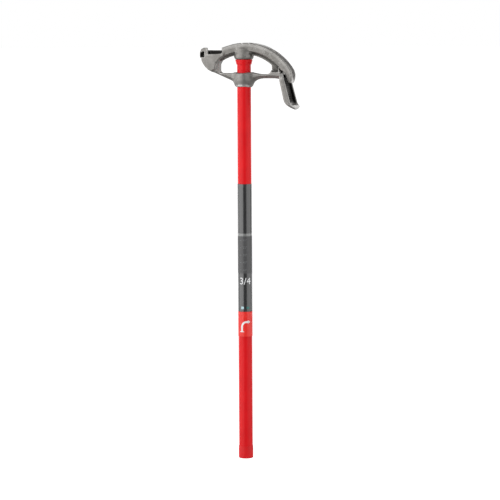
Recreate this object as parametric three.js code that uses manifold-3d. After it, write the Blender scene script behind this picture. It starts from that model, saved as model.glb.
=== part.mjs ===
import * as THREE from "three";
import { mergeVertices } from "three/addons/utils/BufferGeometryUtils.js";
import Module from "manifold-3d";

// A hand bender for 3/4 in thin-wall conduit: a cast head on a pipe handle.
// Millimetres. +Z runs along the handle from its lower end to the head, the conduit bends in the XZ plane,
// the hook points to -X and the foot pedal to +X. The origin is the centre of the end cap's flat bottom.

// Handle: 1 in pipe, with a soft cap, two printed sleeves and a lock collar.
const pipeRadius = 16.7;
const pipeBore = 13.3;
const pipeTop = 985.7;
const capHeight = 30;
const capFloor = 3;
const capWall = 0.8;
const fitGap = 0.3;
const sleeveWall = 0.6;
const bandSpan = [301, 361.7];
const wrapSpan = [362, 672];
const collarSpan = [959, 970.7];
const collarRadii = [18.2, 20.6];

// Head: the conduit's centreline is an arc about bendCentre, with a straight lead-in to the hook.
const conduitRadius = 12.2;
const bendRadius = 130;
const bendCentre = { x: 6.5, z: 875.5 };
const bendStart = -17;
const bendEnd = 70;
const wallRise = 5.5;
const shoeDepth = 15;
const shoeHalf = 16;
const webHalf = 5;
const bodyHalf = 13;
const windowRadius = 107.5;
const windowLean = 0.09;
const stripRadius = 100;
const stripSpan = [-34.5, 37];
const windowFloor = 938.5;
const floorDip = 2.5;
const nearWallEnd = 20;
const hookMouth = 57;
const hookLength = 100;
const mouthX = -111;
const mouthTurn = 23;

// Hub round the pipe below the window, cone-shaped boss that takes the pipe's top end.
const socketRadius = pipeRadius + fitGap;
const hubSpan = [905.5, 938.5];
const hubRadius = 23.5;
const bossSpan = [971, 999];
const bossRadius = 23.5;
const socketTop = pipeTop + fitGap;

// Pedal: a wide tray, hollow towards +X, with its tread towards the handle.
const pedalHalf = 33;
const pedalSide = 5;
const pedalPlate = 4.5;
const pedalRoot = 939;
const pedalTip = 850;
const pedalShoulder = 867;

// Set screws in the back of the hub and the boss.
const screwRadius = 3;
const screwLength = 4.6;
const screwHex = 1.6;
const screwHexDepth = 2.4;
const screwHeights = { set_screw_hub: 928, set_screw_boss: 980 };

const wasm = await Module();
wasm.setup();

const degrees = (angle) => (angle * Math.PI) / 180;

// A point at that radius from the bend's centre. Angle 0 is straight up and grows towards +X.
function onBend(radius, angle) {
  const a = degrees(angle);
  return [bendCentre.x + radius * Math.sin(a), bendCentre.z + radius * Math.cos(a)];
}

// A point on the straight lead-in: distance along it from the bend's start, and height above its centreline.
function onLeadIn(distance, height) {
  const [x, z] = onBend(bendRadius + height, bendStart);
  const a = degrees(bendStart);
  return [x - distance * Math.cos(a), z + distance * Math.sin(a)];
}

function arc(radius, from, to, steps) {
  return Array.from({ length: steps + 1 }, (_, i) => onBend(radius, from + ((to - from) * i) / steps));
}

// A round corner of that radius between the directions to two neighbours.
function corner([ax, az], [x, z], [bx, bz], radius, steps = 4) {
  const a = new THREE.Vector2(ax - x, az - z).normalize();
  const b = new THREE.Vector2(bx - x, bz - z).normalize();
  const half = Math.acos(a.dot(b)) / 2;
  const reach = radius / Math.tan(half);
  const start = new THREE.Vector2(x, z).addScaledVector(a, reach);
  const end = new THREE.Vector2(x, z).addScaledVector(b, reach);
  const curve = new THREE.QuadraticBezierCurve(start, new THREE.Vector2(x, z), end);
  return curve.getPoints(steps).map((p) => [p.x, p.y]);
}

// An outline whose corners are rounded. Each entry is x, z and the corner's radius, absent for a sharp one.
function rounded(entries) {
  return entries.flatMap(([x, z, radius = 0], i) => {
    const before = entries[(i + entries.length - 1) % entries.length];
    const after = entries[(i + 1) % entries.length];
    return radius > 0 ? corner(before, [x, z], after, radius) : [[x, z]];
  });
}

function solidOf(geometry) {
  const bare = geometry.index ? geometry.toNonIndexed() : geometry.clone();
  bare.deleteAttribute("normal");
  bare.deleteAttribute("uv");
  const merged = mergeVertices(bare, 1e-4);
  const vertProperties = merged.getAttribute("position").array;
  const triVerts = new Uint32Array(merged.index.array);
  return new wasm.Manifold(new wasm.Mesh({ numProp: 3, vertProperties, triVerts }));
}

function geometryOf(solid) {
  const { vertProperties, triVerts } = solid.getMesh();
  const geometry = new THREE.BufferGeometry();
  geometry.setAttribute("position", new THREE.BufferAttribute(new Float32Array(vertProperties), 3));
  geometry.setIndex(new THREE.BufferAttribute(new Uint32Array(triVerts), 1));
  const flat = geometry.toNonIndexed();
  flat.computeVertexNormals();
  return flat;
}

// An outline in XZ, as [x, z] points, carried from one Y to another.
function slab(outline, yLow, yHigh) {
  const shape = new THREE.Shape(outline.map(([x, z]) => new THREE.Vector2(x, z)));
  const geometry = new THREE.ExtrudeGeometry(shape, { depth: yHigh - yLow, bevelEnabled: false });
  return geometry.rotateX(Math.PI / 2).translate(0, yHigh, 0);
}

const plate = (outline, half) => slab(outline, -half, half);

// A profile of [radius, z] points turned round the handle's axis.
function turned(profile, segments) {
  const points = profile.map(([r, z]) => new THREE.Vector2(r, z));
  return new THREE.LatheGeometry(points, segments).rotateX(Math.PI / 2);
}

function tubeProfile(inner, outer, low, high, edge) {
  return [
    [inner, low],
    [outer - edge, low],
    [outer, low + edge],
    [outer, high - edge],
    [outer - edge, high],
    [inner, high],
    [inner, low],
  ];
}

// A closed cylinder from one point to another.
function rod(from, to, radius, segments) {
  const start = new THREE.Vector3(...from);
  const along = new THREE.Vector3(...to).sub(start);
  const geometry = new THREE.CylinderGeometry(radius, radius, along.length(), segments);
  geometry.translate(0, along.length() / 2, 0);
  const turn = new THREE.Quaternion().setFromUnitVectors(new THREE.Vector3(0, 1, 0), along.normalize());
  return geometry.applyQuaternion(turn).translate(start.x, start.y, start.z);
}

// The shoe that the conduit bends round, before its groove is cut.
function shoeOutline() {
  const top = bendRadius + wallRise;
  const bottom = bendRadius - shoeDepth;
  return [
    ...arc(top, bendEnd - 11, bendStart, 34),
    onLeadIn(nearWallEnd, wallRise),
    onLeadIn(nearWallEnd + 4, -shoeDepth),
    ...arc(bottom, bendStart, bendEnd, 30),
    onBend(bottom + 6, bendEnd + 0.8),
    onBend(top - 8, bendEnd - 2.2),
    onBend(top - 2.5, bendEnd - 6.5),
  ];
}

// The body's outline from the hook's throat down round the hub's left side.
const throatEdge = [
  [-104, 976],
  [-103, 968],
  [-99.5, 961],
  [-94, 953.5],
  [-86.5, 946.5],
  [-77, 941.5],
  [-26, 919.5],
];

const bodyOutline = [
  [-50, 992],
  ...throatEdge,
  [-22.5, 915.5],
  [-20, 909],
  [20, 909],
  [23, 915],
  [28, 919.5],
  [34, 923],
  [42, 925.5],
  [52, 926.5],
  [78, 926.5],
  [92, 925],
  [101, 927],
  [106, 931],
  ...arc(bendRadius - shoeDepth + 2, 60, bendStart, 24),
];

// The window's top edge, a little closer to the bend's centre towards the pedal.
function windowTop(from, to, steps) {
  return Array.from({ length: steps + 1 }, (_, i) => {
    const angle = from + ((to - from) * i) / steps;
    return onBend(windowRadius - windowLean * angle, angle);
  });
}

// The window on both sides of the handle. Its top runs along under the shoe, its floor dips on the right.
const windowOutline = [
  ...rounded([
    onBend(windowRadius - windowLean * -32, -32),
    [-61, 962, 8],
    [-61, windowFloor, 7],
    [28, windowFloor],
    [42, windowFloor - floorDip],
    [58, windowFloor - floorDip],
    [71, windowFloor, 7],
    [71, 952],
  ]).slice(1),
  ...windowTop(38, -32, 20),
];

// The places where the body is as thin as its web.
const stripRecess = [
  ...arc(stripRadius, ...stripSpan, 18),
  [68, 952],
  [76, windowFloor + 3],
  [88, windowFloor + 3],
  ...arc(bendRadius - shoeDepth, 46, stripSpan[0], 22),
];

function hookSolid() {
  const outline = [
    [-78, 942.5],
    [-68, 950],
    [-67, 962],
    [-57, 974],
    [-46, 982],
    [-46, 993.5],
    [-83.5, 993.5],
    [-87.5, 999.4],
    [-97, 999.4],
    [-117, 989.5],
    [-118.5, 986],
    [-118, 977],
    [-108, 970],
    ...throatEdge.slice(1, 5),
  ].reverse();
  const nearRight = [
    [-86, 984],
    [-40, 985],
    [-40, 1010],
    [-86, 1010],
  ];
  const nearLeft = [
    [-125, 976],
    [-95.5, 976],
    [-95.5, 988.5],
    [-125, 981],
  ];
  const farRoof = [
    [-120, 993.5],
    [-80, 993.5],
    [-80, 1010],
    [-120, 1010],
  ];
  const mouth = new THREE.BoxGeometry(60, 80, 80);
  mouth.translate(-30, 0, 0).rotateZ(degrees(mouthTurn)).translate(mouthX, 0, 985);
  return solidOf(plate(outline, shoeHalf))
    .subtract(solidOf(slab(nearRight, -shoeHalf - 1, 0)))
    .subtract(solidOf(slab(nearLeft, -shoeHalf - 1, 0)))
    .subtract(solidOf(slab(farRoof, -5, shoeHalf + 1)))
    .subtract(solidOf(mouth));
}

// The tread leans out towards its lower end, and curls out more at the toe.
const treadAt = (z) => 97.4 + (922 - z) * 0.222 + 0.03 * Math.max(0, 876 - z) ** 2;
const rimAt = (z) => 112 + (915 - z) * 0.271;

function pedalSolid() {
  const side = [
    [treadAt(pedalRoot), pedalRoot],
    [rimAt(pedalRoot), pedalRoot],
    [rimAt(866), 866],
    [132.5, 858.5],
    [132, 853],
    [129, pedalTip],
    [126, 852],
    ...[857, 862, 867, 872, 877].map((z) => [treadAt(z), z]),
  ].reverse();
  const hollow = [
    [treadAt(950) + pedalPlate, 950],
    [140, 950],
    [140, 863.5],
    [treadAt(863) + pedalPlate + 2, 861.5],
    [treadAt(868) + pedalPlate + 0.5, 867],
    [treadAt(875) + pedalPlate, 875],
  ].reverse();
  const tip = Array.from({ length: 17 }, (_, i) => {
    const a = Math.PI * (1 + i / 16);
    return [pedalHalf * Math.cos(a), pedalShoulder + (pedalShoulder - pedalTip) * Math.sin(a)];
  });
  const front = new THREE.Shape(
    [...tip, [pedalHalf, 920], [29, 930], [24, 940], [-24, 940], [-29, 930], [-pedalHalf, 920]].map(
      ([y, z]) => new THREE.Vector2(y, z),
    ),
  );
  const face = new THREE.ExtrudeGeometry(front, { depth: 80, bevelEnabled: false });
  face.rotateX(Math.PI / 2).rotateZ(Math.PI / 2).translate(70, 0, 0);
  return solidOf(plate(side, pedalHalf))
    .intersect(solidOf(face))
    .subtract(solidOf(plate(hollow, pedalHalf - pedalSide)));
}

function hubSolid() {
  const [low, high] = hubSpan;
  return solidOf(
    turned(
      [
        [0, low],
        [17.9, low],
        [18.8, low + 1.3],
        [20, low + 5.5],
        [21.6, low + 10],
        [hubRadius - 0.3, low + 15.5],
        [hubRadius, high - 2],
        [hubRadius - 1.2, high],
        [0, high],
      ],
      48,
    ),
  );
}

function bossSolid() {
  const [low, high] = bossSpan;
  return solidOf(
    turned(
      [
        [0, low],
        [19.6, low],
        [bossRadius - 1.1, low + 2],
        [bossRadius, low + 5.5],
        [bossRadius - 0.2, low + 10],
        [21, low + 18],
        [18.4, low + 25.5],
        [16, high],
        [0, high],
      ],
      48,
    ),
  );
}

// The groove that holds the conduit: its round floor, and the clear way above the centreline.
function grooveSolid() {
  const ring = new THREE.TorusGeometry(bendRadius, conduitRadius, 24, 120).rotateX(Math.PI / 2);
  ring.translate(bendCentre.x, 0, bendCentre.z);
  const [startX, startZ] = onLeadIn(-0.5, 0);
  const [endX, endZ] = onLeadIn(hookLength, 0);
  const leadIn = rod([startX, 0, startZ], [endX, 0, endZ], conduitRadius, 24);
  const open = [
    ...arc(bendRadius, bendEnd + 6, bendStart, 36),
    onLeadIn(hookMouth, 0),
    onLeadIn(hookMouth, 25),
    ...arc(bendRadius + 25, bendStart, bendEnd + 6, 36),
  ];
  return solidOf(ring).add(solidOf(leadIn)).add(solidOf(plate(open.reverse(), conduitRadius)));
}

function headSolid() {
  const body = solidOf(plate([...bodyOutline].reverse(), bodyHalf));
  const recess = solidOf(plate([...stripRecess].reverse(), bodyHalf + 1));
  const web = solidOf(plate([...bodyOutline].reverse(), webHalf));
  const window = solidOf(plate([...windowOutline].reverse(), bodyHalf + 4));
  const shoe = solidOf(plate(shoeOutline().reverse(), shoeHalf));
  const socket = rod([0, 0, hubSpan[0] - 1], [0, 0, socketTop], socketRadius, 48);
  let head = body.subtract(recess).add(web).subtract(window);
  head = head.add(shoe).add(hookSolid()).add(pedalSolid()).add(hubSolid()).add(bossSolid());
  head = head.subtract(grooveSolid()).subtract(solidOf(socket));
  for (const z of Object.values(screwHeights)) {
    head = head.subtract(solidOf(rod([0, 0, z], [0, bossRadius + 10, z], screwRadius + fitGap, 24)));
  }
  return head;
}

function setScrewSolid(z) {
  const inner = pipeRadius + fitGap;
  const outer = inner + screwLength;
  const shank = solidOf(rod([0, inner, z], [0, outer, z], screwRadius, 24));
  const hex = solidOf(rod([0, outer - screwHexDepth, z], [0, outer + 1, z], screwHex, 6));
  return shank.subtract(hex);
}

const finishes = {
  castAluminium: { color: 0x96918c, roughness: 0.55, metalness: 0.9 },
  redPowderCoat: { color: 0xd7232a, roughness: 0.35, metalness: 0.0 },
  redVinyl: { color: 0xd0202a, roughness: 0.5, metalness: 0.0 },
  blackVinyl: { color: 0x232323, roughness: 0.45, metalness: 0.0 },
  redPrint: { color: 0xe2332c, roughness: 0.4, metalness: 0.0 },
  blackSteel: { color: 0x2b2b2d, roughness: 0.4, metalness: 0.9 },
};

const bender = new THREE.Group();

function addPiece(name, geometry, finish) {
  const piece = new THREE.Mesh(geometry, new THREE.MeshStandardMaterial(finishes[finish]));
  piece.name = name;
  bender.add(piece);
}

const sleeve = (span) =>
  turned(tubeProfile(pipeRadius + fitGap, pipeRadius + fitGap + sleeveWall, ...span, 0.15), 48);

const capOuter = pipeRadius + fitGap + capWall;
const capProfile = [
  [0, 0],
  [capOuter - 1, 0],
  [capOuter, 1],
  [capOuter, capHeight],
  [pipeRadius + fitGap, capHeight],
  [pipeRadius + fitGap, capFloor],
  [0, capFloor],
];

const collarProfile = [
  [pipeRadius + fitGap, collarSpan[0]],
  [collarRadii[0], collarSpan[0]],
  [collarRadii[1], collarSpan[1] - 2],
  [collarRadii[1], collarSpan[1]],
  [pipeRadius + fitGap, collarSpan[1]],
  [pipeRadius + fitGap, collarSpan[0]],
];

const pipeProfile = tubeProfile(pipeBore, pipeRadius, capFloor + fitGap, pipeTop, 0.8);

addPiece("bender_head", geometryOf(headSolid()), "castAluminium");
addPiece("handle_tube", turned(pipeProfile, 48), "redPowderCoat");
addPiece("lock_collar", turned(collarProfile, 48), "redPowderCoat");
addPiece("end_cap", turned(capProfile, 48), "redVinyl");
addPiece("grip_wrap", sleeve(wrapSpan), "blackVinyl");
addPiece("size_band", sleeve(bandSpan), "redPrint");
for (const [name, height] of Object.entries(screwHeights)) {
  addPiece(name, geometryOf(setScrewSolid(height)), "blackSteel");
}

export default bender;
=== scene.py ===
import math

import bmesh
import bpy
import numpy as np
from mathutils import Matrix, Quaternion, Vector


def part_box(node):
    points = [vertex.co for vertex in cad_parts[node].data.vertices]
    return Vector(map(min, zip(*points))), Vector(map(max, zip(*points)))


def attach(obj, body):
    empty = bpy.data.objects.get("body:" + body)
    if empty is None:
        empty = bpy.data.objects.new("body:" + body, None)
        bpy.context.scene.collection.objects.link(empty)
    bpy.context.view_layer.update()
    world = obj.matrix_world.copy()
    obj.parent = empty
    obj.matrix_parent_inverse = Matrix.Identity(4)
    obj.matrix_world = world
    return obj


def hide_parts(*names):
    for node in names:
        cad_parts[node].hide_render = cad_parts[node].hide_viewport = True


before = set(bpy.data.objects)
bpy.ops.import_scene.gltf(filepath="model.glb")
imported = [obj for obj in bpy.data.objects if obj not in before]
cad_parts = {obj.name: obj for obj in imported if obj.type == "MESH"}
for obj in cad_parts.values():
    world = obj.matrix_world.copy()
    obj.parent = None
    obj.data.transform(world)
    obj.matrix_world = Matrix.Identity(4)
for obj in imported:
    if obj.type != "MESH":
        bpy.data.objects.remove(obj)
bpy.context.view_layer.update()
mm = 0.001  # the shapes below are worked out in millimetres


# shader helpers

class Wire:
    # one output socket that can be used in sums
    def __init__(self, finish, socket):
        self.finish = finish
        self.socket = socket

    def maths(self, operation, *others):
        sockets = dict(enumerate((self, *others)))
        return self.finish.add("ShaderNodeMath", {"operation": operation}, sockets)

    def __add__(self, other):
        return self.maths("ADD", other)

    __radd__ = __add__

    def __mul__(self, other):
        return self.maths("MULTIPLY", other)

    __rmul__ = __mul__

    def __sub__(self, other):
        return self.maths("SUBTRACT", other)

    def __rsub__(self, other):
        return self.finish.add("ShaderNodeMath", {"operation": "SUBTRACT"}, {0: other, 1: self})

    def __truediv__(self, other):
        return self.maths("DIVIDE", other)

    def clamped(self):
        return self.maths("MAXIMUM", 0.0).maths("MINIMUM", 1.0)

    def ramp(self, low, high):
        # 0 below low, 1 above high, straight in between
        return ((self - low) / (high - low)).clamped()


class Finish:
    # a material round one Principled shader
    def __init__(self, name, **constants):
        self.material = bpy.data.materials.new(name)
        self.material.use_nodes = True
        self.nodes = self.material.node_tree.nodes
        self.links = self.material.node_tree.links
        self.shader = self.nodes["Principled BSDF"]
        for socket, value in constants.items():
            self.shader.inputs[socket.replace("_", " ")].default_value = value
        self.place = self.add("ShaderNodeTexCoord", {}, {}, "Object")

    def add(self, kind, settings, sockets, out=0):
        # settings first, then each socket takes a value or a link
        node = self.nodes.new(kind)
        for setting, value in settings.items():
            setattr(node, setting, value)
        for key, value in sockets.items():
            if isinstance(value, Wire):
                self.links.new(value.socket, node.inputs[key])
            else:
                node.inputs[key].default_value = value
        return Wire(self, node.outputs[out])

    def noise(self, scale, detail, roughness, stretch=None):
        # a stretch under 1 draws the pattern out along that axis
        place = self.place
        if stretch:
            place = self.add("ShaderNodeMapping", {}, {"Vector": place, "Scale": stretch})
        sockets = {"Vector": place, "Scale": scale, "Detail": detail, "Roughness": roughness}
        return self.add("ShaderNodeTexNoise", {}, sockets, "Fac")

    def cells(self, scale):
        return self.add("ShaderNodeTexVoronoi", {}, {"Vector": self.place, "Scale": scale}, "Distance")

    def axis(self, name):
        return self.add("ShaderNodeSeparateXYZ", {}, {"Vector": self.place}, name)

    def attribute(self, name):
        return self.add("ShaderNodeAttribute", {"attribute_name": name}, {}, "Fac")

    def mix(self, share, first, second):
        return self.add("ShaderNodeMix", {"data_type": "RGBA"}, {0: share, 6: first, 7: second}, 2)

    def bump(self, height, distance, strength):
        sockets = {"Height": height, "Distance": distance, "Strength": strength}
        return self.add("ShaderNodeBump", {}, sockets, "Normal")

    def feed(self, socket, wire):
        self.links.new(wire.socket, self.shader.inputs[socket])


def rgb(red, green, blue):
    return (red, green, blue, 1.0)


# mesh helpers

def addPiece(name, points, faces, finish, body, smooth=True, creaseAngle=None):
    # points in millimetres, the finished mesh in metres at the origin
    mesh = bpy.data.meshes.new(name)
    if isinstance(faces, np.ndarray):
        faces = faces.tolist()
    mesh.from_pydata((np.asarray(points) * mm).tolist(), [], faces)
    mesh.update()
    mesh.polygons.foreach_set("use_smooth", np.full(len(mesh.polygons), smooth))
    if creaseAngle:
        mesh.set_sharp_from_angle(angle=math.radians(creaseAngle))
    piece = bpy.data.objects.new(name, mesh)
    bpy.context.scene.collection.objects.link(piece)
    mesh.materials.append(finish.material)
    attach(piece, body)
    return piece


def turnedGrid(profile, turns, closed=True):
    # a closed profile of (radius, height) swept round Z: x = r cos a, y = r sin a, z = h
    profile = np.asarray(profile, float)
    angle = np.linspace(0, 2 * np.pi, turns, endpoint=False)
    r, z = profile[:, 0][None], profile[:, 1][None]
    angle = angle[:, None]
    points = np.stack([r * np.cos(angle), r * np.sin(angle), z + 0 * angle], -1)
    here = np.arange(turns * len(profile)).reshape(turns, -1)
    there = np.roll(here, -1, 0)
    if closed:
        faces = np.stack([here, there, np.roll(there, -1, 1), np.roll(here, -1, 1)], -1)
    else:
        faces = np.stack([here[:, :-1], there[:, :-1], there[:, 1:], here[:, 1:]], -1)
    return points.reshape(-1, 3), faces.reshape(-1, 4)


def bentProfile(corners, steps=5):
    # (radius, height, rounding) corners into a profile with quarter-round edges
    corners = [np.asarray(c, float) for c in corners]
    made = []
    for i, corner in enumerate(corners):
        before = corners[i - 1][:2] - corner[:2]
        after = corners[(i + 1) % len(corners)][:2] - corner[:2]
        size = min(corner[2], 0.45 * np.hypot(*before), 0.45 * np.hypot(*after))
        if size <= 0:
            made.append(corner[:2])
            continue
        start = corner[:2] + before / np.hypot(*before) * size
        end = corner[:2] + after / np.hypot(*after) * size
        t = np.linspace(0, 1, steps)[:, None]
        made.extend((1 - t) ** 2 * start + 2 * t * (1 - t) * corner[:2] + t ** 2 * end)
    return np.array(made)


def spacedAlong(profile, longest):
    # extra points where two neighbours are further apart than longest
    made = []
    for a, b in zip(profile, np.roll(profile, -1, 0)):
        count = max(1, int(np.ceil(np.hypot(*(b - a)) / longest)))
        made.append(a + (b - a) * np.arange(count)[:, None] / count)
    return np.concatenate(made)


# camera, light and floor

stage = {
    "turn": 18.0, "distance": 5.0, "height": 1.04, "aimSide": 0.0122, "aimHeight": 0.5108, "roll": 0.30,
    "lens": 149.3, "sensor": 36.0, "clip": (0.05, 400.0), "world": 0.24,
    "floor": -0.42, "floorReach": 160.0, "floorGrey": 0.5,
}

# each soft light's turn from the camera, height, distance, size, power and the height that it faces
softboxes = {
    "leftBox": (-64, 1.0, 1.9, (3.2, 3.0), 54, 0.7),
    "rightBox": (64, 0.9, 2.0, (3.2, 3.0), 38, 0.7),
    "topBox": (10, 2.7, 1.0, (1.8, 1.4), 3, 0.95),
    "backLeftBox": (-140, 1.0, 2.2, (1.6, 2.8), 22, 0.7),
    "backRightBox": (142, 1.0, 2.2, (1.6, 2.8), 17, 0.7),
}


def placeCamera(scene):
    # in front of the object at the stage's turn, aimed a little to the side of the handle
    a = math.radians(stage["turn"])
    away = Vector((math.sin(a), -math.cos(a), 0))
    side = Vector((math.cos(a), math.sin(a), 0))
    eye = away * stage["distance"] + Vector((0, 0, stage["height"]))
    aim = side * stage["aimSide"] + Vector((0, 0, stage["aimHeight"]))
    data = bpy.data.cameras.new("camera")
    data.lens, data.sensor_width = stage["lens"], stage["sensor"]
    data.clip_start, data.clip_end = stage["clip"]
    camera = bpy.data.objects.new("camera", data)
    camera.rotation_mode = "QUATERNION"
    look = (aim - eye).to_track_quat("-Z", "Y")
    camera.rotation_quaternion = look @ Quaternion((0, 0, 1), math.radians(-stage["roll"]))
    camera.location = eye
    scene.collection.objects.link(camera)
    scene.camera = camera


def placeSoftbox(scene, name, turn, height, reach, size, power, target):
    # an area light that faces the handle
    light = bpy.data.lights.new(name, "AREA")
    light.shape, light.size, light.size_y = "RECTANGLE", size[0], size[1]
    light.energy = power
    lamp = bpy.data.objects.new(name, light)
    b = math.radians(stage["turn"] + turn)
    lamp.location = Vector((math.sin(b), -math.cos(b), 0)) * reach + Vector((0, 0, height))
    lamp.rotation_mode = "QUATERNION"
    lamp.rotation_quaternion = (Vector((0, 0, target)) - lamp.location).to_track_quat("-Z", "Y")
    scene.collection.objects.link(lamp)


def lightWorld(scene):
    # white where the camera sees it, dimmer where it lights the object
    world = bpy.data.worlds.new("world")
    scene.world = world
    world.use_nodes = True
    nodes, links = world.node_tree.nodes, world.node_tree.links
    back = nodes["Background"]
    rays = nodes.new("ShaderNodeLightPath")
    shade = nodes.new("ShaderNodeMapRange")
    shade.inputs["To Min"].default_value = stage["world"]
    shade.inputs["To Max"].default_value = 1.0
    links.new(rays.outputs["Is Camera Ray"], shade.inputs["Value"])
    links.new(shade.outputs["Result"], back.inputs["Strength"])
    back.inputs["Color"].default_value = rgb(1, 1, 1)


def layFloor(scene):
    # pale, and white to the camera, so that it shows no edge
    grey = stage["floorGrey"]
    paint = Finish("floorPaint", Roughness=0.9, Base_Color=rgb(grey, grey, grey), Emission_Strength=1.0)
    seen = paint.add("ShaderNodeLightPath", {}, {}, "Is Camera Ray")
    paint.feed("Emission Color", paint.mix(seen, rgb(0, 0, 0), rgb(1, 1, 1)))
    reach, z = stage["floorReach"], stage["floor"]
    corners = [(-reach, -reach, z), (reach, -reach, z), (reach, reach, z), (-reach, reach, z)]
    mesh = bpy.data.meshes.new("floor")
    mesh.from_pydata(corners, [], [(0, 1, 2, 3)])
    mesh.materials.append(paint.material)
    floor = bpy.data.objects.new("floor", mesh)
    scene.collection.objects.link(floor)


def buildStage():
    scene = bpy.context.scene
    placeCamera(scene)
    for name, settings in softboxes.items():
        placeSoftbox(scene, name, *settings)
    lightWorld(scene)
    layFloor(scene)
    scene.view_settings.view_transform = "Standard"


buildStage()
print("stage ready")


# finishes

def castFinish():
    # sand-cast aluminium, tumbled: grain, blotches, painted shade darkening its hollows, bright worn
    # edges
    f = Finish("castAluminium", Metallic=0.88, Roughness=0.5)
    hollow = f.attribute("hollow").ramp(0.30, 0.80)
    deep = f.attribute("hollow").ramp(0.55, 0.85)
    worn, rubbed = f.attribute("worn"), f.attribute("rubbed")
    blotch = f.noise(38, 4, 0.6)
    cloud = f.noise(210, 3, 0.55)
    grain = f.noise(1500, 3, 0.6)
    pits = f.cells(520).ramp(0.0, 0.35)
    base = f.mix(blotch.ramp(0.35, 0.68), rgb(0.185, 0.178, 0.167), rgb(0.34, 0.328, 0.312))
    base = f.mix(cloud.ramp(0.3, 0.75) * 0.5, base, rgb(0.26, 0.250, 0.232))
    base = f.mix((1 - grain.ramp(0.3, 0.62)) * 0.35, base, rgb(0.17, 0.16, 0.15))
    # painted shade: the more shut in a point is, the darker the metal, near black in the deepest hollows
    base = f.mix((hollow * (0.45 + cloud * 0.5)).clamped(), base, rgb(0.085, 0.080, 0.073))
    base = f.mix((deep * (0.8 + cloud * 0.3)).clamped(), base, rgb(0.008, 0.0075, 0.007))
    bright = (worn * (0.35 + grain * 0.9)).clamped()
    base = f.mix(bright * 0.75, base, rgb(0.72, 0.71, 0.69))
    base = f.mix(rubbed * 0.55, base, rgb(0.62, 0.61, 0.60))
    f.feed("Base Color", base)
    rough = 0.50 + (cloud - 0.5) * 0.22 + hollow * 0.3 - bright * 0.16 - rubbed * 0.17
    f.feed("Roughness", rough.clamped())
    height = grain * 0.55 + pits * 0.25 + cloud * 0.35
    f.feed("Normal", f.bump(height * (1 - rubbed * 0.75), 0.00022, 0.55))
    return f


def redCoatFinish():
    # powder coat: orange peel, faint dust and rub marks
    coat = {"Coat_Weight": 0.06, "Coat_Roughness": 0.15}
    f = Finish("redPowderCoat", Roughness=0.4, Specular_IOR_Level=0.2, **coat)
    peel = f.noise(620, 2, 0.5)
    cloud = f.noise(22, 3, 0.6)
    scuff = f.noise(90, 6, 0.72, stretch=(1.0, 1.0, 0.16)).ramp(0.66, 0.74)
    base = f.mix(cloud.ramp(0.3, 0.7), rgb(0.70, 0.004, 0.008), rgb(0.80, 0.006, 0.010))
    base = f.mix(scuff * 0.20, base, rgb(0.78, 0.22, 0.20))
    f.feed("Base Color", base)
    f.feed("Roughness", (0.36 + cloud * 0.10 + scuff * 0.18).clamped())
    f.feed("Normal", f.bump(peel, 0.00010, 0.35))
    return f


def redVinylFinish():
    # dipped vinyl: satin, slightly pebbled
    f = Finish("redVinyl", Roughness=0.42, Specular_IOR_Level=0.3)
    pebble = f.noise(1100, 3, 0.6)
    cloud = f.noise(60, 3, 0.6)
    f.feed("Base Color", f.mix(cloud.ramp(0.3, 0.7), rgb(0.66, 0.005, 0.009), rgb(0.77, 0.008, 0.012)))
    f.feed("Roughness", (0.36 + cloud * 0.16).clamped())
    f.feed("Normal", f.bump(pebble, 0.00008, 0.4))
    return f


# heights on the black sleeve, in metres: its charcoal band, and the pale ring above that
wrap = {"greyLow": 0.455, "greyHigh": 0.5455, "ring": 0.549, "ringHalf": 0.003, "soft": 0.001}


def between(z, low, high, soft):
    # 1 from low to high, fading over soft above each
    return z.ramp(low, low + soft) * (1 - z.ramp(high, high + soft))


def wrapFinish():
    # laminated black film: a charcoal band between two heights, one pale ring above it
    f = Finish("blackFilm", Roughness=0.3, Specular_IOR_Level=0.8, Coat_Weight=0.9, Coat_Roughness=0.12)
    z = f.axis("Z")
    grey = between(z, wrap["greyLow"], wrap["greyHigh"], wrap["soft"])
    half, soft = wrap["ringHalf"], wrap["soft"] / 2
    ring = between(z, wrap["ring"] - half - soft, wrap["ring"] + half, soft)
    dust = f.noise(140, 5, 0.7, stretch=(1.0, 1.0, 0.25))
    weave = f.noise(900, 2, 0.5)
    base = f.mix(dust.ramp(0.3, 0.75), rgb(0.010, 0.010, 0.011), rgb(0.020, 0.020, 0.021))
    base = f.mix(grey, base, rgb(0.050, 0.050, 0.052))
    base = f.mix(ring * 0.9, base, rgb(0.20, 0.205, 0.20))
    f.feed("Base Color", base)
    f.feed("Roughness", (0.22 + dust * 0.14 + grey * 0.30).clamped())
    f.feed("Coat Weight", 0.9 - grey * 0.6)
    f.feed("Normal", f.bump(weave, 0.00004, 0.3))
    return f


def printFinish(name, colour):
    # screen ink: a little uneven where the film shows through
    f = Finish(name, Roughness=0.38)
    speck = f.noise(1400, 4, 0.7)
    dark = tuple(c * 0.72 for c in colour[:3]) + (1.0,)
    f.feed("Base Color", f.mix(speck.ramp(0.52, 0.72) * 0.5, colour, dark))
    f.feed("Normal", f.bump(speck, 0.00002, 0.3))
    return f


def bandFinish():
    # bright red printed film
    f = Finish("redFilm", Roughness=0.32, Coat_Weight=0.15, Coat_Roughness=0.1, Specular_IOR_Level=0.35)
    cloud = f.noise(70, 4, 0.6)
    base = f.mix(cloud.ramp(0.3, 0.7), rgb(0.82, 0.022, 0.018), rgb(0.90, 0.036, 0.026))
    f.feed("Base Color", base)
    f.feed("Roughness", (0.24 + cloud * 0.12).clamped())
    f.feed("Normal", f.bump(f.noise(800, 2, 0.5), 0.00004, 0.3))
    return f


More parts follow.
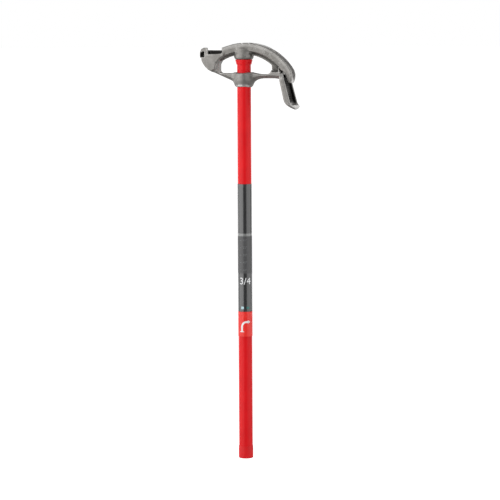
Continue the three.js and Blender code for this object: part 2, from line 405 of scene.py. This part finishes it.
def steelFinish():
    # black oxide on a socket screw, bare on its edges
    f = Finish("blackOxideSteel", Metallic=0.85, Roughness=0.42)
    stain = f.noise(700, 4, 0.65)
    f.feed("Base Color", f.mix(stain.ramp(0.35, 0.7), rgb(0.035, 0.034, 0.036), rgb(0.11, 0.105, 0.10)))
    f.feed("Roughness", (0.34 + stain * 0.2).clamped())
    f.feed("Normal", f.bump(stain, 0.00005, 0.5))
    return f


cast = castFinish()
redCoat = redCoatFinish()
redVinyl = redVinylFinish()
blackFilm = wrapFinish()
redFilm = bandFinish()
whiteInk = printFinish("whiteInk", rgb(0.86, 0.87, 0.88))
greyInk = printFinish("greyInk", rgb(0.17, 0.175, 0.18))
paleInk = printFinish("paleBlueInk", rgb(0.50, 0.72, 0.78))
tealInk = printFinish("tealInk", rgb(0.03, 0.18, 0.16))
steel = steelFinish()
print("finishes ready")


# the cast head, as one blended solid

head = {
    "cell": 1.15, "bendX": 6.5, "bendZ": 875.5, "bend": 130.0, "groove": 12.2,
    "start": -17.0, "end": 70.0, "rise": 5.5, "depth": 15.0, "shoeHalf": 16.0,
    "webHalf": 5.0, "bodyHalf": 13.0, "keelHalf": 6.5, "keelSlope": 0.95, "nearEnd": 20.0,
    "windowFloor": 938.5, "floorDip": 2.5, "windowRadius": 107.5, "windowLean": 0.09,
    "stripRadius": 100.0,
    "hookMouth": 57.0, "hookEnd": 104.0, "mouth": -111.0, "mouthTurn": 23.0,
    "pedalHalf": 33.0, "pedalSide": 5.0, "pedalPlate": 4.5, "pedalRoot": 939.0,
    "toe": 867.0, "toeDrop": 17.0, "ribPitch": 8.5,
    "hubLow": 905.5, "hubHigh": 938.5, "bossLow": 971.0, "bossHigh": 999.0,
    "socket": 17.0, "socketTop": 986.0, "screwHole": 3.3, "screwLevels": (928.0, 980.0),
    "rimNotches": (-3.1, 4.1), "notchHalf": 1.6, "notchFloor": 132.2, "beyond": 60.0,
}

# painted shade added to how hollow a point is: pedal tray, more at its toe, groove in the hook, web by
# the shoe; and how much the toe lip is brightened
paintedShadeAndToeLip = {"tray": 0.6, "trayToe": 0.3, "hookGroove": 0.7, "web": 0.35, "toeLipBright": 0.75}

# rays that measure how open a point is, and the distances at which each looks for metal
sky = {"rays": 48, "lift": 1.2, "grazing": 0.1, "reaches": (1.5, 3.5, 6, 9, 13, 18, 25, 34)}


def onBend(radius, angle):
    # a point round the bend's centre, angle 0 straight up
    a = np.radians(angle)
    return np.stack([head["bendX"] + radius * np.sin(a), head["bendZ"] + radius * np.cos(a)], -1)


def onLeadIn(distance, height):
    # a point along the straight stretch towards the hook
    a = math.radians(head["start"])
    x, z = onBend(head["bend"] + height, head["start"])
    return (x - distance * math.cos(a), z + distance * math.sin(a))


def arcPoints(radius, first, last, count=24, lean=0.0):
    # points round the bend's centre, the radius falling by lean for each degree
    angle = np.linspace(first, last, count)
    return [tuple(p) for p in onBend(radius - lean * angle, angle)]


def outlineField(points, u, w):
    # signed distance from an outline: the nearest edge's, negative inside, where a level line
    # crosses an odd number of edges
    a = np.asarray(points, np.float32)
    e = np.roll(a, -1, 0) - a
    best = np.full(np.broadcast(u, w).shape, 1e9, np.float32)
    inside = np.zeros(best.shape, bool)
    for (px, pz), (ex, ez) in zip(a, e):
        t = np.clip(((u - px) * ex + (w - pz) * ez) / (ex * ex + ez * ez + 1e-9), 0, 1)
        best = np.minimum(best, np.hypot(u - px - t * ex, w - pz - t * ez))
        if ez != 0:
            spans = (pz > w) != (pz + ez > w)
            inside ^= spans & (u < px + ex * (w - pz) / ez)
    return np.where(inside, -best, best)


def thick(flat, across, half, soft=1.5):
    # an outline's field carried to +-half along the other axis, with edges rounded by soft
    a, b = flat + soft, across - (half - soft)
    return np.minimum(np.maximum(a, b), 0) + np.hypot(np.maximum(a, 0), np.maximum(b, 0)) - soft


def join(a, b, fillet):
    # smooth union: the nearer surface, with a fillet where the two are about as far
    share = np.clip(0.5 + 0.5 * (b - a) / fillet, 0, 1)
    return b + (a - b) * share - fillet * share * (1 - share)


def cut(a, b, fillet):
    # a without b, its new edges rounded
    return -join(-a, b, fillet)


def treadAt(z):
    # the tread's lean, and its curl at the toe
    return 97.4 + (922 - z) * 0.222 + 0.03 * np.maximum(0, 876 - z) ** 2


def rimAt(z):
    # the tray's outer rim
    return 112 + (915 - z) * 0.271


# the hook's rounded back, shared by the claw and the body under it
throat = [(-104, 976), (-103, 968), (-99.5, 961), (-94, 953.5), (-86.5, 946.5), (-77, 941.5)]


def shoeAndBody(x, z, side):
    # the arched shoe, the plate under it, thin under the shoe, and the window on both sides of the handle
    h = head
    top, low = h["bend"] + h["rise"], h["bend"] - h["depth"]
    shoe = [
        *arcPoints(top, h["end"] - 11, h["start"], 44), onLeadIn(h["nearEnd"], h["rise"]),
        onLeadIn(h["nearEnd"] + 4, -h["depth"]), *arcPoints(low, h["start"], h["end"], 40),
        tuple(onBend(low + 6, h["end"] + 0.8)), tuple(onBend(top - 8, h["end"] - 2.2)),
        tuple(onBend(top - 2.5, h["end"] - 6.5)),
    ]
    body = [
        (-50, 992), *throat, (-27, 920), (-22.5, 915.5), (-20, 909), (20, 909), (23, 915), (28, 919.5),
        (34, 923), (42, 925.5), (52, 926.5), (78, 926.5), (92, 925), (101, 927), (106, 931),
        *arcPoints(low + 2, 60, h["start"], 30),
    ]
    floor, dip = h["windowFloor"], h["windowFloor"] - h["floorDip"]
    window = [
        (-57, 966), (-60, 961.5), (-61, 957), (-61, 945), (-59, 940.5), (-54.5, floor), (28, floor),
        (42, dip), (58, dip), (65, dip + 1.3), (69.5, floor + 2.5), (71, 946), (71, 952),
        *arcPoints(h["windowRadius"], 38, -32, 28, h["windowLean"]),
    ]
    strip = [
        *arcPoints(h["stripRadius"], -33.5, 37, 20), (67, 950), (76, 941.5), (89, 941.5),
        *arcPoints(low, 46, -34.5, 24),
    ]
    flat = outlineField(body, x, z)
    keel = (side - h["keelHalf"] - h["keelSlope"] * np.clip(-flat, 0, 7)) * 0.74
    solid = join(np.maximum(thick(flat, side, h["bodyHalf"], 2.0), keel), thick(flat, side, 4, 2), 1.0)
    solid = cut(solid, thick(outlineField(strip, x, z), side, h["beyond"], 0.1), 1.5)
    solid = join(solid, thick(flat, side, h["webHalf"], 1.5), 2.0)
    solid = join(solid, thick(outlineField(shoe, x, z), side, h["shoeHalf"], 2.8), 2.0)
    return solid, thick(outlineField(window, x, z), side, h["beyond"], 0.1)


def hookField(x, y, z, side):
    # a slotted claw over the conduit: its near side is open left and right of one rib, and its mouth
    # is cut on the slant
    claw = [
        *reversed(throat[:5]), (-108, 970), (-118, 977), (-118.5, 986), (-117, 989.5), (-97, 999.4),
        (-87.5, 999.4), (-83.5, 993.5), (-46, 993.5), (-46, 982), (-57, 974), (-67, 962), (-68, 950),
        (-78, 942.5),
    ]
    rightGap = [(-86, 984), (-40, 985), (-40, 1010), (-86, 1010)]
    leftGap = [(-125, 977), (-95.5, 977), (-95.5, 991), (-125, 983.5)]
    solid = thick(outlineField(claw, x, z), side, head["shoeHalf"], 1.8)
    solid = cut(solid, np.maximum(993.5 - z, -5 - y), 1.2)
    for gap in (rightGap, leftGap):
        solid = cut(solid, np.maximum(outlineField(gap, x, z), y), 1.2)
    slant = math.radians(head["mouthTurn"])
    return cut(solid, (x - head["mouth"]) * math.cos(slant) + y * math.sin(slant), 1.6)


def collarsField(x, y, z):
    # the flared hub below the window and the cone of the boss above it, both turned round the handle
    h = head
    low, high = h["hubLow"], h["hubHigh"]
    hub = [
        (-5, low), (17.9, low), (18.8, low + 1.3), (20, low + 5.5), (21.6, low + 10), (23.2, low + 15.5),
        (23.5, high - 2), (22.3, high), (-5, high),
    ]
    low, high = h["bossLow"], h["bossHigh"]
    boss = [
        (-5, low), (19.6, low), (22.4, low + 2), (23.5, low + 5.5), (23.3, low + 10), (21, low + 18),
        (18.4, high - 2.5), (16, high), (-5, high),
    ]
    spin = np.hypot(x, y)
    return outlineField(hub, spin, z), outlineField(boss, spin, z)


def pedalField(x, y, z, side):
    # a tray, hollow on its outer side, with cross ribs on the tread
    h = head
    root, toe, drop = h["pedalRoot"], h["toe"], h["toeDrop"]
    heights = np.linspace(root, 853, 30)
    profile = [
        *zip(treadAt(heights), heights), (129, 850.3), (132, 853), (132.5, 858.5), (rimAt(866), 866),
        (rimAt(root), root),
    ]
    flat = outlineField(profile, x, z)
    angle = np.linspace(math.pi, 2 * math.pi, 24)
    front = [
        *zip(h["pedalHalf"] * np.cos(angle), toe + drop * np.sin(angle)),
        (33, 920), (29.5, 930), (24, 939), (-24, 939), (-29.5, 930), (-33, 920),
    ]
    face = outlineField(front, y, z)
    tray = -join(-flat, -face, 3.2)
    inner = treadAt(z) + h["pedalPlate"]
    hollow = np.maximum(inner - x, 863.2 - z - (x - 121) * 0.06)
    widened = 6 * np.clip((z - 927) / 3, 0, 1)
    hollow = np.maximum(hollow, side - (h["pedalHalf"] - h["pedalSide"]) - widened)
    tray = cut(tray, np.maximum(hollow, face + h["pedalSide"] - 0.6 * np.clip((z - 900) / 10, 0, 8)), 2.0)
    along = (922 - z) / 0.976
    wave = np.abs(along / h["ribPitch"] - np.round(along / h["ribPitch"])) * h["ribPitch"]
    ribs = np.maximum(np.abs(treadAt(z) - x + 0.1) - 1.2, wave - 1.6)
    ribs = np.maximum(ribs, np.maximum(side - 26.5, np.abs(along - 25) - 30))
    return join(tray, ribs, 0.9)


def grooveField(x, y, z, side):
    # round floor along the bend and its lead-in, and the clear way above the centreline
    h = head
    a = math.radians(h["start"])
    dx, dz = x - h["bendX"], z - h["bendZ"]
    along = dz * math.sin(a) - dx * math.cos(a)
    height = np.where(along > 0, dx * math.sin(a) + dz * math.cos(a), np.hypot(dx, dz)) - h["bend"]
    tube = np.hypot(height, y) - h["groove"]
    clear = np.maximum(np.maximum(-height, side - h["groove"]), along - h["hookMouth"])
    groove = np.maximum(np.minimum(tube, clear), along - h["hookEnd"])
    return np.where(z < 905, 50, groove)


def headField(x, y, z):
    # every part of the casting as a distance field, joined with fillets, then its holes
    h = head
    side = np.abs(y)
    solid, window = shoeAndBody(x, z, side)
    solid = cut(join(solid, hookField(x, y, z, side), 5.0), window, 2.2)
    hub, boss = collarsField(x, y, z)
    solid = join(join(solid, hub, 8.0), boss, 4.0)
    solid = join(solid, pedalField(x, y, z, side), 4.0)
    groove = grooveField(x, y, z, side)
    solid = cut(solid, groove, 1.1)
    dx, dz = x - h["bendX"], z - h["bendZ"]
    for angle in h["rimNotches"]:
        along = np.abs(np.arctan2(dx, dz) - math.radians(angle)) * 132
        notch = np.maximum(along - h["notchHalf"], h["notchFloor"] - np.hypot(dx, dz))
        solid = cut(solid, np.maximum(notch, y), 0.6)
    solid = cut(solid, np.maximum(np.hypot(x, y) - h["socket"], z - h["socketTop"]), 0.8)
    for level in h["screwLevels"]:
        solid = cut(solid, np.maximum(np.hypot(x, z - level) - h["screwHole"], -y), 0.8)
    return solid, groove


def surfaceOf(field, origin, cell):
    # surface nets: one point in each cell that the surface crosses, at the mean of its edge crossings,
    # and one face round each grid edge that it crosses
    inside = field < 0
    nx, ny, nz = (n - 1 for n in field.shape)
    corners = [(i, j, k) for i in (0, 1) for j in (0, 1) for k in (0, 1)]
    count = sum(inside[i:nx + i, j:ny + j, k:nz + k].astype(np.int8) for i, j, k in corners)
    cells = np.argwhere((count > 0) & (count < 8))
    number = np.full((nx, ny, nz), -1, np.int32)
    number[tuple(cells.T)] = np.arange(len(cells))
    total = np.zeros((len(cells), 3))
    hits = np.zeros(len(cells))
    for c in corners:
        for axis in range(3):
            if c[axis]:
                continue
            d = list(c)
            d[axis] = 1
            a = field[tuple((cells + c).T)]
            b = field[tuple((cells + d).T)]
            crossed = (a < 0) != (b < 0)
            t = np.where(crossed, a / np.where(crossed, a - b, 1), 0)
            spot = np.array(c) + t[:, None] * (np.array(d) - np.array(c))
            total += np.where(crossed[:, None], spot, 0)
            hits += crossed
    points = origin + (cells + total / hits[:, None]) * cell
    faces = []
    for axis in range(3):
        u, v = (axis + 1) % 3, (axis + 2) % 3
        lowSide = [slice(1, -1)] * 3
        highSide = [slice(1, -1)] * 3
        lowSide[axis] = slice(0, -1)
        highSide[axis] = slice(1, None)
        a, b = inside[tuple(lowSide)], inside[tuple(highSide)]
        for rising in (True, False):
            at = np.argwhere(a & ~b if rising else ~a & b)
            at[:, u] += 1
            at[:, v] += 1
            stepU, stepV = np.eye(3, dtype=int)[u], np.eye(3, dtype=int)[v]
            ring = [at - stepU - stepV, at - stepV, at, at - stepU]
            if not rising:
                ring.reverse()
            faces.append(np.stack([number[tuple(r.T)] for r in ring], -1))
    return points, np.concatenate(faces)


def sampled(field, origin, cell, points):
    # the field at any points, straight lines between the grid's values
    p = np.clip((points - origin) / cell, 0, np.array(field.shape) - 1.001)
    i = p.astype(int)
    t = p - i
    value = 0
    for c in [(a, b, d) for a in (0, 1) for b in (0, 1) for d in (0, 1)]:
        share = np.prod(np.where(c, t, 1 - t), -1)
        value = value + share * field[tuple((i + c).T)]
    return value


def slopeOf(field, origin, cell, points):
    # the direction in which the field grows fastest: straight out of the metal
    step = cell * 0.5
    parts = []
    for axis in range(3):
        shift = np.zeros(3)
        shift[axis] = step
        ahead = sampled(field, origin, cell, points + shift)
        parts.append(ahead - sampled(field, origin, cell, points - shift))
    slope = np.stack(parts, -1)
    return slope / np.maximum(np.linalg.norm(slope, axis=1, keepdims=True), 1e-9)


def openness(field, origin, cell, points, out):
    # share of the sky in front of each point that rays reach before they meet metal
    count = sky["rays"]
    # the golden angle between rays: pi times (3 minus the root of 5)
    turn = np.arange(count) * math.pi * (3 - math.sqrt(5))
    up = 1 - (np.arange(count) + 0.5) * 2 / count
    rays = np.stack([np.cos(turn) * np.sqrt(1 - up ** 2), np.sin(turn) * np.sqrt(1 - up ** 2), up], -1)
    reached = np.zeros(len(points))
    total = np.zeros(len(points))
    start = (points + out * sky["lift"] - origin) / cell
    top = np.array(field.shape) - 1
    for ray in rays:
        weight = np.maximum(out @ ray - sky["grazing"], 0)
        clear = np.ones(len(points), bool)
        for reach in sky["reaches"]:
            spot = np.clip((start + ray * reach / cell + 0.5).astype(int), 0, top)
            clear &= field[tuple(spot.T)] > 0
        reached += weight * clear
        total += weight
    return reached / np.maximum(total, 1e-6)


def gridFor(node, cell):
    # three rows of places, one along each axis, three cells past the node's box
    low, high = (np.array(c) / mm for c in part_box(node))
    origin = low - 3 * cell
    shape = np.ceil((high - low) / cell).astype(int) + 7
    rows = []
    for i in range(3):
        row = (origin[i] + cell * np.arange(shape[i])).astype(np.float32)
        rows.append(row.reshape([-1 if k == i else 1 for k in range(3)]))
    return origin, shape, rows


def castTones(field, groove, origin, cell, points):
    # hollow is how shut in a point is, worn how near it is to an edge, rubbed whether conduit
    # slides there
    out = slopeOf(field, origin, cell, points)
    # how shut in each point is, which the finish paints as shade
    hollow = 1 - openness(field, origin, cell, points, out)
    px, py, pz = points.T
    # painted shade inside the pedal's tray, heavier towards its toe
    tray = (np.abs(py) < 28.2) & (pz > 867) & (pz < 945) & (px > treadAt(pz) + 3)
    toe = paintedShadeAndToeLip["trayToe"] * np.clip((905 - pz) / 35, 0, 1)
    hollow += (paintedShadeAndToeLip["tray"] + toe) * tray * np.clip((rimAt(pz) + 1 - px) / 3, 0, 1)
    inGroove = np.clip(1 - np.abs(sampled(groove, origin, cell, points)) / 0.8, 0, 1)
    # painted shade deep in the hook's groove
    hollow += paintedShadeAndToeLip["hookGroove"] * inGroove * (px < -44)
    # painted shade on the recessed web under the shoe, beside the window
    reach = np.hypot(px - head["bendX"], pz - head["bendZ"])
    web = (np.abs(py) < 6.5) & (np.abs(out[:, 1]) > 0.6) & (reach > 98) & (reach < 116.5) & (pz > 939)
    hollow += paintedShadeAndToeLip["web"] * web
    # metal is thin behind an edge, so the field 2 mm in is less than 2
    behind = -sampled(field, origin, cell, points - out * 2.0) / 2.0
    worn = np.clip((1 - behind) * 1.6 - 0.25, 0, 1)
    # the toe lip's faces that do not face down are made brighter
    toeLip = (px > 119) & (pz > 853) & (pz < 866) & (out[:, 2] > -0.2)
    worn = np.maximum(worn, paintedShadeAndToeLip["toeLipBright"] * toeLip)
    rubbed = inGroove * np.clip((px + 45) / 12, 0, 1)
    return {"hollow": hollow, "worn": worn, "rubbed": rubbed}


def addTones(piece, tones):
    # one value at each point, or one for all of them, for the finish to read
    count = len(piece.data.vertices)
    for name, values in tones.items():
        layer = piece.data.attributes.new(name, "FLOAT", "POINT")
        layer.data.foreach_set("value", np.broadcast_to(values, count).astype(np.float32))


def buildHead():
    cell = head["cell"]
    origin, shape, (x, y, z) = gridFor("bender_head", cell)
    field, groove = (np.ascontiguousarray(np.broadcast_to(f, shape)) for f in headField(x, y, z))
    points, faces = surfaceOf(field, origin, cell)
    piece = addPiece("cast_head", points, faces, cast, "head")
    addTones(piece, castTones(field, groove, origin, cell, points))
    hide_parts("bender_head")
    print("cast head:", len(points), "points,", len(faces) * 2, "triangles")


buildHead()


# handle: pipe, collar, cap and the two printed sleeves

handle = {"radius": 16.7, "bore": 13.3, "top": 985.7, "gap": 0.3, "film": 0.6, "turns": 128}


def buildTurned(name, node, corners, finish, body, longest=25.0):
    # a ring of rounded corners swept round the handle's axis, in place of its node
    profile = spacedAlong(bentProfile(corners), longest)
    points, faces = turnedGrid(profile, handle["turns"])
    piece = addPiece(name, points, faces, finish, body, creaseAngle=50)
    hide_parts(node)


def buildHandle():
    outer, bore, gap = handle["radius"], handle["bore"], handle["gap"]
    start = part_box("handle_tube")[0][2] / mm
    end = handle["top"]
    pipe = [(bore, start, 0.4), (outer, start, 0.8), (outer, end, 0.8), (bore, end, 0.4)]
    buildTurned("pipe_handle", "handle_tube", pipe, redCoat, "handle")
    low, high = (v[2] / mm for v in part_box("lock_collar"))
    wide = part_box("lock_collar")[1][0] / mm
    collar = [
        (outer + gap, low, 0.2), (18.2, low, 0.5), (18.6, low + 1.6, 1.0), (wide, high - 2.2, 1.4),
        (wide, high, 0.5), (outer + gap, high, 0.2),
    ]
    buildTurned("tapered_collar", "lock_collar", collar, redCoat, "collar", 3.0)
    skin = outer + gap
    for name, node, finish, slot in (
        ("grip_film", "grip_wrap", blackFilm, "black_print"),
        ("size_film", "size_band", redFilm, "red_print"),
    ):
        low, high = (v[2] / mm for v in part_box(node))
        face = skin + handle["film"]
        film = [(skin, low, 0.1), (face, low, 0.25), (face, high, 0.25), (skin, high, 0.1)]
        buildTurned(name, node, film, finish, "handle", 12.0)


def buildCap():
    # half a section from axis to axis, swept round: floor, lip and thin wall
    low, high = (v[2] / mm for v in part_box("end_cap"))
    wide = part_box("end_cap")[1][0] / mm
    inner = handle["radius"] + handle["gap"]
    half = [
        (0.0, low + 3.0, 0), (inner, low + 3.0, 0.6), (inner, high, 0.1), (wide - 0.1, high, 0.35),
        (wide - 0.25, high - 3, 0.8), (wide, high - 8, 1.0), (wide, low, 2.4), (0.0, low, 0),
    ]
    profile = bentProfile(half, 6)[::-1]
    points, faces = turnedGrid(profile, handle["turns"], closed=False)
    piece = addPiece("vinyl_cap", points, faces, redVinyl, "cap", creaseAngle=50)
    tidy(piece)
    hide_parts("end_cap")


def tidy(piece):
    # points on the axis merged, faces turned outwards
    work = bmesh.new()
    work.from_mesh(piece.data)
    bmesh.ops.remove_doubles(work, verts=work.verts, dist=1e-6)
    bmesh.ops.dissolve_degenerate(work, edges=work.edges, dist=1e-7)
    bmesh.ops.recalc_face_normals(work, faces=work.faces)
    work.to_mesh(piece.data)
    work.free()


buildHandle()
buildCap()
print("handle ready")


# prints on the sleeves, bent round the handle

prints = {
    "radius": 17.62, "lift": 0.1, "slice": 1.2, "sliceReach": 30, "facing": 18.0, "thick": 0.24,
    "pictogram": 329, "patches": 371.5, "numerals": 436, "numeralSize": 23,
    "list": 500, "listSize": 7.5, "listPitch": 18, "degrees": (10, 22, 30, 45, 60),
}


def sliceFlat(mesh, reach, step):
    # cuts a flat shape into strips, so that it can bend
    work = bmesh.new()
    work.from_mesh(mesh)
    for u in np.arange(-reach, reach, step):
        everything = work.verts[:] + work.edges[:] + work.faces[:]
        bmesh.ops.bisect_plane(work, geom=everything, plane_co=(u, 0, 0), plane_no=(1, 0, 0))
    work.to_mesh(mesh)
    work.free()


def textMesh(words, size, thickness):
    # raised lettering, centred on the origin
    curve = bpy.data.curves.new("words", "FONT")
    curve.body, curve.size, curve.extrude = words, size, thickness / 2
    curve.align_x, curve.align_y = "CENTER", "CENTER"
    holder = bpy.data.objects.new("words", curve)
    bpy.context.scene.collection.objects.link(holder)
    bpy.context.view_layer.update()
    mesh = bpy.data.meshes.new_from_object(holder)
    bpy.data.objects.remove(holder)
    return mesh


def stripMesh(path, wide, thickness):
    # a flat bar along a path of (u, v) points, its sides square to the path
    path = np.asarray(path, float)
    along = np.gradient(path, axis=0)
    along /= np.linalg.norm(along, axis=1, keepdims=True)
    across = np.stack([-along[:, 1], along[:, 0]], -1) * (np.asarray(wide, float).reshape(-1, 1) / 2)
    left, right = path + across, path - across
    low, high = np.full((len(path), 1), -thickness / 2), np.full((len(path), 1), thickness / 2)
    corners = ((right, low), (right, high), (left, high), (left, low))
    rings = np.stack([np.hstack(corner) for corner in corners], 1)
    index = np.arange(len(path) * 4).reshape(-1, 4)
    here, there = index[:-1], index[1:]
    sides = np.stack([here, there, np.roll(there, -1, 1), np.roll(here, -1, 1)], -1).reshape(-1, 4)
    faces = np.concatenate([sides, index[:1], index[-1:, ::-1]])
    mesh = bpy.data.meshes.new("strip")
    mesh.from_pydata(rings.reshape(-1, 3).tolist(), [], faces.tolist())
    return mesh


def flatPoints(mesh):
    # a mesh's points as rows of (u, v, thickness)
    points = np.empty(len(mesh.vertices) * 3)
    mesh.vertices.foreach_get("co", points)
    return points.reshape(-1, 3)


def bentPiece(name, meshes, height, finish, turn=0.0):
    # u runs round the handle from the turn that faces the front, v up it, the thickness outwards
    points, faces, first = [], [], 0
    for mesh in meshes:
        sliceFlat(mesh, prints["sliceReach"], prints["slice"])
        flat = flatPoints(mesh)
        radius = prints["radius"] + prints["lift"] / 2 + flat[:, 2]
        angle = math.radians(prints["facing"] + turn) + flat[:, 0] / prints["radius"]
        x, y = radius * np.sin(angle), -radius * np.cos(angle)
        points.append(np.stack([x, y, height + flat[:, 1]], -1))
        faces += [[first + v for v in face.vertices] for face in mesh.polygons]
        first += len(flat)
    piece = addPiece(name, np.concatenate(points), faces, finish, "handle", smooth=False)
    tidy(piece)


def arcPath(u, v, radius, first, last, count):
    # centre plus radius times (cos, sin) of the angle
    a = np.radians(np.linspace(first, last, count))
    return np.stack([u + radius * np.cos(a), v + radius * np.sin(a)], -1)


def buildPrints():
    t = prints["thick"]
    # a bent length of conduit with an arrow, on the red band
    legs = [(-8.5, -15), (-8.5, -9), *arcPath(3.5, -4, 12, 180, 90, 24)[1:], (9.5, 8)]
    arrow = stripMesh([(6.5, 8), (12.5, 8)], [9.0, 0.3], t)
    base = stripMesh([(-8.5, -16.8), (-8.5, -15)], 10.5, t)
    conduit = stripMesh(legs, 4.6, t)
    bentPiece("bend_pictogram", [conduit, arrow, base], prints["pictogram"], whiteInk)
    numerals = textMesh("3/4", prints["numeralSize"], t)
    bentPiece("size_numerals", [numerals], prints["numerals"], whiteInk)
    pale = stripMesh([(-3.2, 0), (3.2, 0)], 6.2, t)
    bentPiece("pale_patch", [pale], prints["patches"], paleInk, turn=-22)
    teal = stripMesh([(-3.6, 0), (3.6, 0)], 5.4, t)
    bentPiece("teal_patch", [teal], prints["patches"], tealInk, turn=22)
    listed, ticks = [], []
    top = prints["listPitch"] * (len(prints["degrees"]) - 1) / 2
    for i, angle in enumerate(prints["degrees"]):
        v = top - prints["listPitch"] * i
        words = textMesh(f"{angle}\u00b0", prints["listSize"], t)
        words.transform(Matrix.Translation((0, v, 0)))
        listed.append(words)
        ticks.append(stripMesh([(-14, v), (-9.5, v)], 1.1, t))
    bentPiece("degree_list", listed + ticks, prints["list"], greyInk)


buildPrints()
print("prints ready")


# socket set screws in the back of the hub and the boss

screw = {"radius": 3.0, "pitch": 0.8, "thread": 0.22, "flat": 1.6, "deep": 2.4, "turns": 48, "edge": 0.35}


def buildScrew(name, node, body):
    # a grid of turns and stations along the screw: thread ridges follow the turn, and the socket
    # has six flats, each at flat / cos(angle from its middle) from the axis
    low, high = (np.array(c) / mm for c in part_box(node))
    start, end, level = low[1], high[1], (low[2] + high[2]) / 2
    s = screw
    turn = np.linspace(0, 2 * np.pi, s["turns"], endpoint=False)[:, None]
    shank = np.linspace(start + s["edge"], end - s["edge"], 40)[None]
    ridge = s["thread"] * (0.5 + 0.5 * np.cos(2 * np.pi * shank / s["pitch"] - turn))
    fade = np.clip(np.minimum(shank - start - s["edge"], end - s["edge"] - shank) / 0.5, 0, 1)
    hexagon = s["flat"] / np.cos((turn + np.pi / 6) % (np.pi / 3) - np.pi / 6)
    one = np.ones_like(turn)
    radius = np.hstack([
        0.02 * one, 1.3 * one, 1.7 * one, (s["radius"] - 0.6) * one,
        s["radius"] - s["thread"] + ridge * fade,
        (s["radius"] - 0.5) * one, hexagon + 0.25, hexagon, hexagon * 0.98, 0.02 * one,
    ])
    floor = end - s["deep"]
    y = np.concatenate([
        [start + 0.7, start + 0.7, start, start], shank[0],
        [end, end, end - 0.25, floor + 0.1, floor - 0.35],
    ])[None] * one
    points = np.stack([radius * np.sin(turn), y, level + radius * np.cos(turn)], -1).reshape(-1, 3)
    index = np.arange(len(points)).reshape(s["turns"], -1)
    there = np.roll(index, -1, 0)
    faces = np.stack([index[:, :-1], index[:, 1:], there[:, 1:], there[:, :-1]], -1).reshape(-1, 4)
    piece = addPiece(name, points, faces, steel, body, creaseAngle=35)
    tidy(piece)
    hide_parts(node)


buildScrew("socket_screw_hub", "set_screw_hub", "hub_screw")
buildScrew("socket_screw_boss", "set_screw_boss", "boss_screw")
print("screws ready")


# raised marks cast on the shoe's sides

marks = {
    "high": 0.5, "size": 7.0, "radius": 123.6,
    "angles": (("0", -9), ("10", 12), ("22", 23), ("30", 31), ("45", 45)),
}


def buildCastMarks():
    # each mark turned to its angle round the bend, set on both faces of the shoe
    points, faces, first = [], [], 0
    for side in (-1, 1):
        for words, angle in marks["angles"]:
            parts = [textMesh(words, marks["size"], marks["high"] * 2)]
            parts.append(stripMesh([(0, 5.2), (0, 9.0)], 1.1, marks["high"] * 2))
            a = math.radians(angle)
            for mesh in parts:
                flat = flatPoints(mesh)
                u = -side * flat[:, 0]
                r = marks["radius"] + flat[:, 1]
                x = head["bendX"] + r * math.sin(a) + u * math.cos(a)
                z = head["bendZ"] + r * math.cos(a) - u * math.sin(a)
                points.append(np.stack([x, side * (head["shoeHalf"] + flat[:, 2]), z], -1))
                faces += [[first + v for v in face.vertices] for face in mesh.polygons]
                first += len(flat)
    points = np.concatenate(points)
    piece = addPiece("cast_marks", points, faces, cast, "head", smooth=False)
    tidy(piece)
    addTones(piece, {"hollow": 0.0, "worn": 0.75, "rubbed": 0.0})


buildCastMarks()
print("marks ready")
